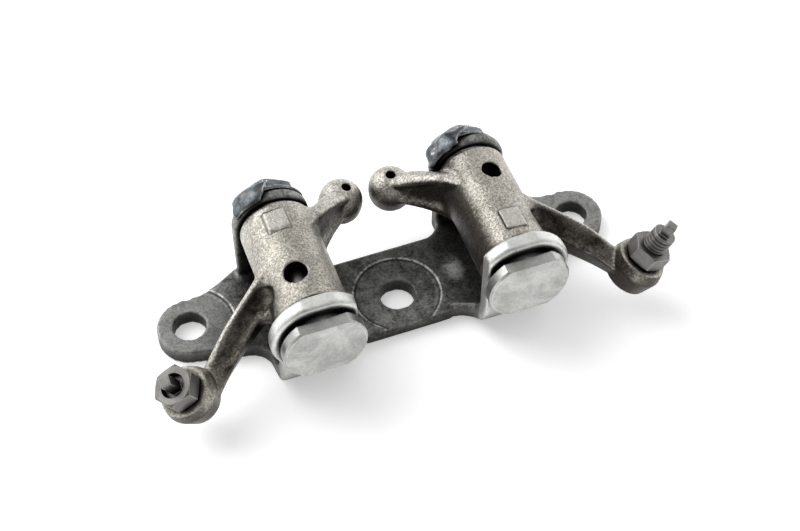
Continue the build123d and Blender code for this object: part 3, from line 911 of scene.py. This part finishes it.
# studio: a light tent round a white table, bright in a window behind and left and on the right
# wall, dark in an opening in front, with one soft lamp for the table that no metal reflects

tent = {
    "rear": (0.66, 0.66, 0.66), "front": (0.42, 0.42, 0.42), "dark": (0.05, 0.05, 0.05),
    "frontToRear": (-0.7, 0.3),
    # toward, cosines at edge and core, and power
    "opening": (Vector((-0.21, -0.57, 0.80)), 0.88, 0.97),
    "window": (Vector((-0.60, 0.57, 0.58)), 0.86, 0.97, 2.2),
    "wall": (Vector((0.85, 0.50, 0.12)), 0.70, 0.97, 0.55),
}
lamp = {"place": Vector((-0.35, 0.45, 0.70)), "size": 0.9, "power": 5.0}
table = {"size": 4.0, "colour": (0.88, 0.88, 0.885), "rough": 0.8, "glow": 0.42}
white = (1.0, 1.0, 1.0)

world = bpy.data.worlds.new("tent")
world.use_nodes = True
scene.world = world
sky = world.node_tree
toward = put(sky, "ShaderNodeTexCoord").outputs["Generated"]


def patch(centre, edge, core, power=1.0):
    near = put(sky, "ShaderNodeVectorMath", {0: toward, 1: centre.normalized()}, operation="DOT_PRODUCT")
    return ramp(sky, near.outputs["Value"], edge, core, 0.0, power)


rearward = ramp(sky, split(sky, toward)[1], *tent["frontToRear"])
surround = mixColour(sky, rearward, tent["front"], tent["rear"])
surround = mixColour(sky, patch(*tent["opening"]), surround, tent["dark"])
extra = maths(sky, "ADD", patch(*tent["window"]), patch(*tent["wall"]))
surround = mixColour(sky, 1.0, surround, extra, "ADD")
rays = put(sky, "ShaderNodeLightPath").outputs
seen = maths(sky, "ADD", rays["Is Camera Ray"], rays["Is Transmission Ray"], clamp=True)
background = sky.nodes["Background"]
feed(sky, background.inputs["Color"], mixColour(sky, seen, surround, white))
background.inputs["Strength"].default_value = 1.0

tableLamp = bpy.data.lights.new("tableLamp", "AREA")
tableLamp.shape = "DISK"
tableLamp.size = lamp["size"]
tableLamp.energy = lamp["power"]
lampHolder = bpy.data.objects.new("tableLamp", tableLamp)
lampHolder.location = lamp["place"]
lampHolder.rotation_euler = (-lamp["place"]).to_track_quat("-Z", "Y").to_euler()
lampHolder.visible_glossy = False
scene.collection.objects.link(lampHolder)

corner = table["size"] / 2
floorMesh = bpy.data.meshes.new("floor")
floorMesh.from_pydata([(-corner, -corner, 0), (corner, -corner, 0), (corner, corner, 0),
                       (-corner, corner, 0)], [], [(0, 1, 2, 3)])
floor = bpy.data.objects.new("floor", floorMesh)
scene.collection.objects.link(floor)
floorMaterial = bpy.data.materials.new("whiteTable")
floorMaterial.use_nodes = True
floorTree = floorMaterial.node_tree
paper = floorTree.nodes["Principled BSDF"].inputs
feed(floorTree, paper["Base Color"], table["colour"])
feed(floorTree, paper["Emission Color"], white)
paper["Roughness"].default_value = table["rough"]
looks = put(floorTree, "ShaderNodeLightPath").outputs
beyond = maths(floorTree, "ADD", looks["Is Glossy Ray"], looks["Is Transmission Ray"])
looked = maths(floorTree, "ADD", looks["Is Camera Ray"], beyond, clamp=True)
feed(floorTree, paper["Emission Strength"], times(floorTree, looked, table["glow"]))
floorMesh.materials.append(floorMaterial)

scene.view_settings.view_transform = "Standard"


# camera

view = {"place": Vector((-0.1032, -0.2757, 0.4078)), "azimuth": -20.685, "elevation": 52.767,
        "roll": 0.317, "lens": 71.38, "sensor": 36.0, "clip": (0.01, 20.0)}
camera = bpy.data.cameras.new("camera")
camera.sensor_width = view["sensor"]
camera.lens = view["lens"]
camera.clip_start, camera.clip_end = view["clip"]
cameraHolder = bpy.data.objects.new("camera", camera)
scene.collection.objects.link(cameraHolder)
turn = (Matrix.Rotation(radians(view["azimuth"]), 4, "Z")
        @ Matrix.Rotation(radians(90 - view["elevation"]), 4, "X")
        @ Matrix.Rotation(radians(view["roll"]), 4, "Z"))
cameraHolder.matrix_world = Matrix.Translation(view["place"]) @ turn
scene.camera = cameraHolder

print("scene ready")
